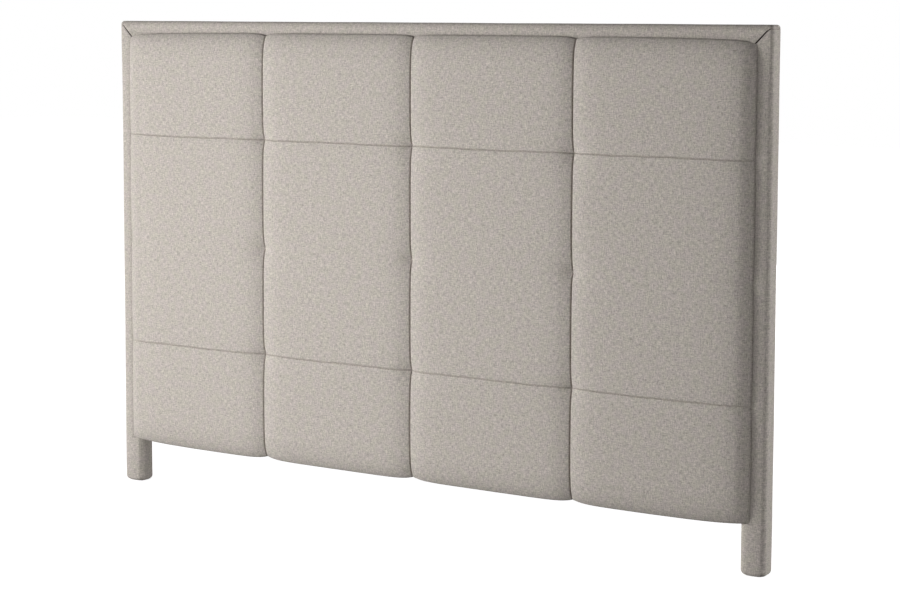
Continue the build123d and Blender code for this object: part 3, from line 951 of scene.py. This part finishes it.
for number in range(column_count):
    edges = column_edges(number)
    x, high_x = column_places(*edges, fine_steps[0], fine_arcs[0])
    z, high_z, _ = column_heights(fine_steps[1], fine_arcs[1], fine_near)
    surface = column_surface(edges, x, high_x, z, high_z)
    if number in swollen:
        kept, stops_x, stops_z = swollen[number]
        surface += np.einsum("ij,jkc,lk->ilc", spline_share(z, stops_z), kept, spline_share(x, stops_x))
    quads, rim = patch_faces(*surface.shape[:2])
    across, up = cloth_length(surface, 1), cloth_length(surface, 0)
    flat = np.stack([across + number * roll_pitch, up], -1).reshape(-1, 2)
    cut = np.concatenate([flat[quads.ravel()], flat[rim]])
    # The cloth takes painted shade round the cushion's rim and along the sewn seams.
    piece = make_piece(f"quilted_column_cloth_{number + 1}", surface.reshape(-1, 3),
                       quads.tolist() + [rim.tolist()], cut, cloth_material, column_painted_shade(surface, x, z))
    nodes = [f"quilted_column_{number + 1}", f"foam_slab_{number + 1}"]
    if number < column_count - 1:
        nodes.append(f"pull_strip_{number + 1}")
    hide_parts(*nodes)


# ---- The dust cover
# Charcoal spun cloth stretched over the back, with its edge folded in and stapled to the frame all
# round. It closes the back against dust.

dust_low, dust_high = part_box("dust_cover")
hem, hem_rise, hem_step, hem_edge = 14 * MM, 0.45 * MM, 0.5 * MM, 0.7 * MM
ripple_height, ripple_start = 0.35 * MM, 40 * MM
dimple_depth, dimple_reach = 0.25 * MM, 7 * MM
staple_inset, staple_pitch = 8 * MM, 58 * MM
spun_black, spun_grey = (0.014, 0.014, 0.015, 1), (0.060, 0.060, 0.063, 1)
fibre_ways = (((160, 1500, 0), 0.5), ((1500, 160, 0), 0.3))


def make_spun_cloth():
    """Nonwoven cloth: the product of noise stretched two ways, for crossing fibres, and small dots."""
    material, add = new_material("dust_cloth")
    cut = add("UVMap", uv_map="cut")
    fibres = [drawn_out(add, cut, stretch, turn) for stretch, turn in fibre_ways]
    tone = add("Math", *fibres, operation="MULTIPLY")
    spread = add("MapRange", tone, From_Min=0.12, From_Max=0.42)
    dots = add("TexVoronoi", cut, voronoi_dimensions="2D", Scale=620.0, Randomness=0.0)
    relief = add("Math", dots.outputs["Distance"], tone, operation="ADD")
    finish_surface(add, add("MixRGB", spread, spun_black, spun_grey), relief, 0.4, 0.15 * MM,
                   Roughness=0.85, Specular_IOR_Level=0.2)
    return material


def staple_places():
    """Middles (n, 2) of the staples round the edge, and the way that each one points, as an angle."""
    low = np.array([dust_low.x, dust_low.z]) + staple_inset
    high = np.array([dust_high.x, dust_high.z]) - staple_inset
    across, up = (np.linspace(low[k] + staple_pitch / 2, high[k] - staple_pitch / 2,
                              int((high[k] - low[k]) / staple_pitch)) for k in (0, 1))
    places = [np.stack([across, np.full(len(across), z)], -1) for z in (low[1], high[1])]
    places += [np.stack([np.full(len(up), x), up], -1) for x in (low[0], high[0])]
    turns = np.repeat([0.0, 0.0, math.pi / 2, math.pi / 2], [len(across), len(across), len(up), len(up)])
    return np.concatenate(places), turns


staples, staple_turns = staple_places()


def dust_surface(x, z):
    """Where the cover's outer face lies behind: a folded hem, low ripples, and a dimple at each staple.

    The hem is a step of a logistic curve of the distance to the edge, and the cover's very edge is
    let down by 1 - exp(-distance / reach). The ripples are sines of both ways that start inside the
    hem, and a dimple is a bell round the staple.
    """
    grid_x, grid_z = np.meshgrid(x, z)
    edge = np.minimum(np.minimum(grid_x - dust_low.x, dust_high.x - grid_x),
                      np.minimum(grid_z - dust_low.z, dust_high.z - grid_z))
    out = hem_rise / (1 + np.exp((edge - hem) / hem_step))
    out *= 1 - np.exp(-edge / hem_edge)
    ripple = np.sin(grid_x * 11 + np.sin(grid_z * 4)) * np.sin(grid_z * 9 + 1)
    out += ripple_height * (1 + ripple) * (1 - np.exp(-np.clip(edge - hem, 0, None) / ripple_start))
    for place in staples:
        off = (grid_x - place[0]) ** 2 + (grid_z - place[1]) ** 2
        out -= dimple_depth * np.exp(-off / dimple_reach ** 2)
    return dust_high.y + np.clip(out, 0, None)


edge_rows = np.array([0, 1, 2.5, 5, 8, 11, 13, 14, 15, 18, 24, 34]) * MM
row_start, row_end, row_step = 46 * MM, 40 * MM, 14 * MM
x, z = (np.concatenate([low + edge_rows, np.arange(low + row_start, high - row_end, row_step),
                        high - edge_rows[::-1]])
        for low, high in ((dust_low.x, dust_high.x), (dust_low.z, dust_high.z)))
grid_x, grid_z = np.meshgrid(x, z)
near_side = np.stack([grid_x, np.full(grid_x.shape, dust_low.y), grid_z], -1).reshape(-1, 3)
far_side = np.stack([grid_x, dust_surface(x, z), grid_z], -1).reshape(-1, 3)
quads, rim = patch_faces(len(z), len(x))
after = np.roll(rim, -1)
edge_quads = np.stack([rim, after, after + len(near_side), rim + len(near_side)], -1)
faces = np.concatenate([quads, quads[:, ::-1] + len(near_side), edge_quads])
points = np.concatenate([near_side, far_side])
piece = make_piece("dust_cover_cloth", points, faces.tolist(), points[faces.ravel()][:, [0, 2]],
                   make_spun_cloth())
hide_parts("dust_cover")

# The staples are bent from flat zinc-coated wire. Each one sits a little askew.
staple_path = np.array([(-5.0, -5.0), (-5.0, 0.1), (-4.5, 0.7), (4.5, 0.7), (5.0, 0.1), (5.0, -5.0)]) * MM
staple_facing = np.array([(-1, 0), (-1, 0.4), (-0.6, 1), (0.6, 1), (1, 0.4), (1, 0)], dtype=float)
wire_half, wire_thick = 0.6 * MM, 0.6 * MM
staple_stand = 0.1 * MM
swing = np.random.default_rng(4).normal(0, 0.06, len(staples))


def staple_mesh():
    """All staples: a flat wire's four edges carried along a path of two legs and a crown.

    The crown runs along each staple's own direction, and the legs go into the wood.
    """
    along, out = staple_path.T
    facing = staple_facing / np.linalg.norm(staple_facing, axis=1, keepdims=True)
    edges = []
    for wide, deep in ((-wire_half, 0), (wire_half, 0),
                       (wire_half, wire_thick), (-wire_half, wire_thick)):
        edges.append(np.stack([along + deep * facing[:, 0], np.full(len(along), wide),
                               out + deep * facing[:, 1]], -1))
    local = np.stack(edges, 1).reshape(-1, 3)
    turned = staple_turns + swing
    run = np.stack([np.cos(turned), np.sin(turned)], -1)
    wide = np.stack([-np.sin(turned), np.cos(turned)], -1)
    flat = staples[:, None] + local[None, :, :1] * run[:, None] + local[None, :, 1:2] * wide[:, None]
    behind = dust_high.y + staple_stand + np.repeat(local[None, :, 2], len(staples), 0)
    points = np.stack([flat[..., 0], behind, flat[..., 1]], -1)
    r, c = np.meshgrid(np.arange(len(along) - 1), np.arange(4), indexing="ij")
    after = (c + 1) % 4
    one = np.stack([r * 4 + c, (r + 1) * 4 + c, (r + 1) * 4 + after, r * 4 + after], -1).reshape(-1, 4)
    last = 4 * (len(along) - 1)
    one = np.concatenate([one, [[0, 1, 2, 3], [last + 3, last + 2, last + 1, last]]])
    faces = (one[None] + np.arange(len(staples))[:, None, None] * len(local)).reshape(-1, 4)
    return points.reshape(-1, 3), faces


points, faces = staple_mesh()
piece = make_piece("dust_cover_staples", points, faces.tolist(), points[faces.ravel()][:, [0, 2]],
                   zinc_material)
piece.data.polygons.foreach_set("use_smooth", np.zeros(len(faces), dtype=bool))
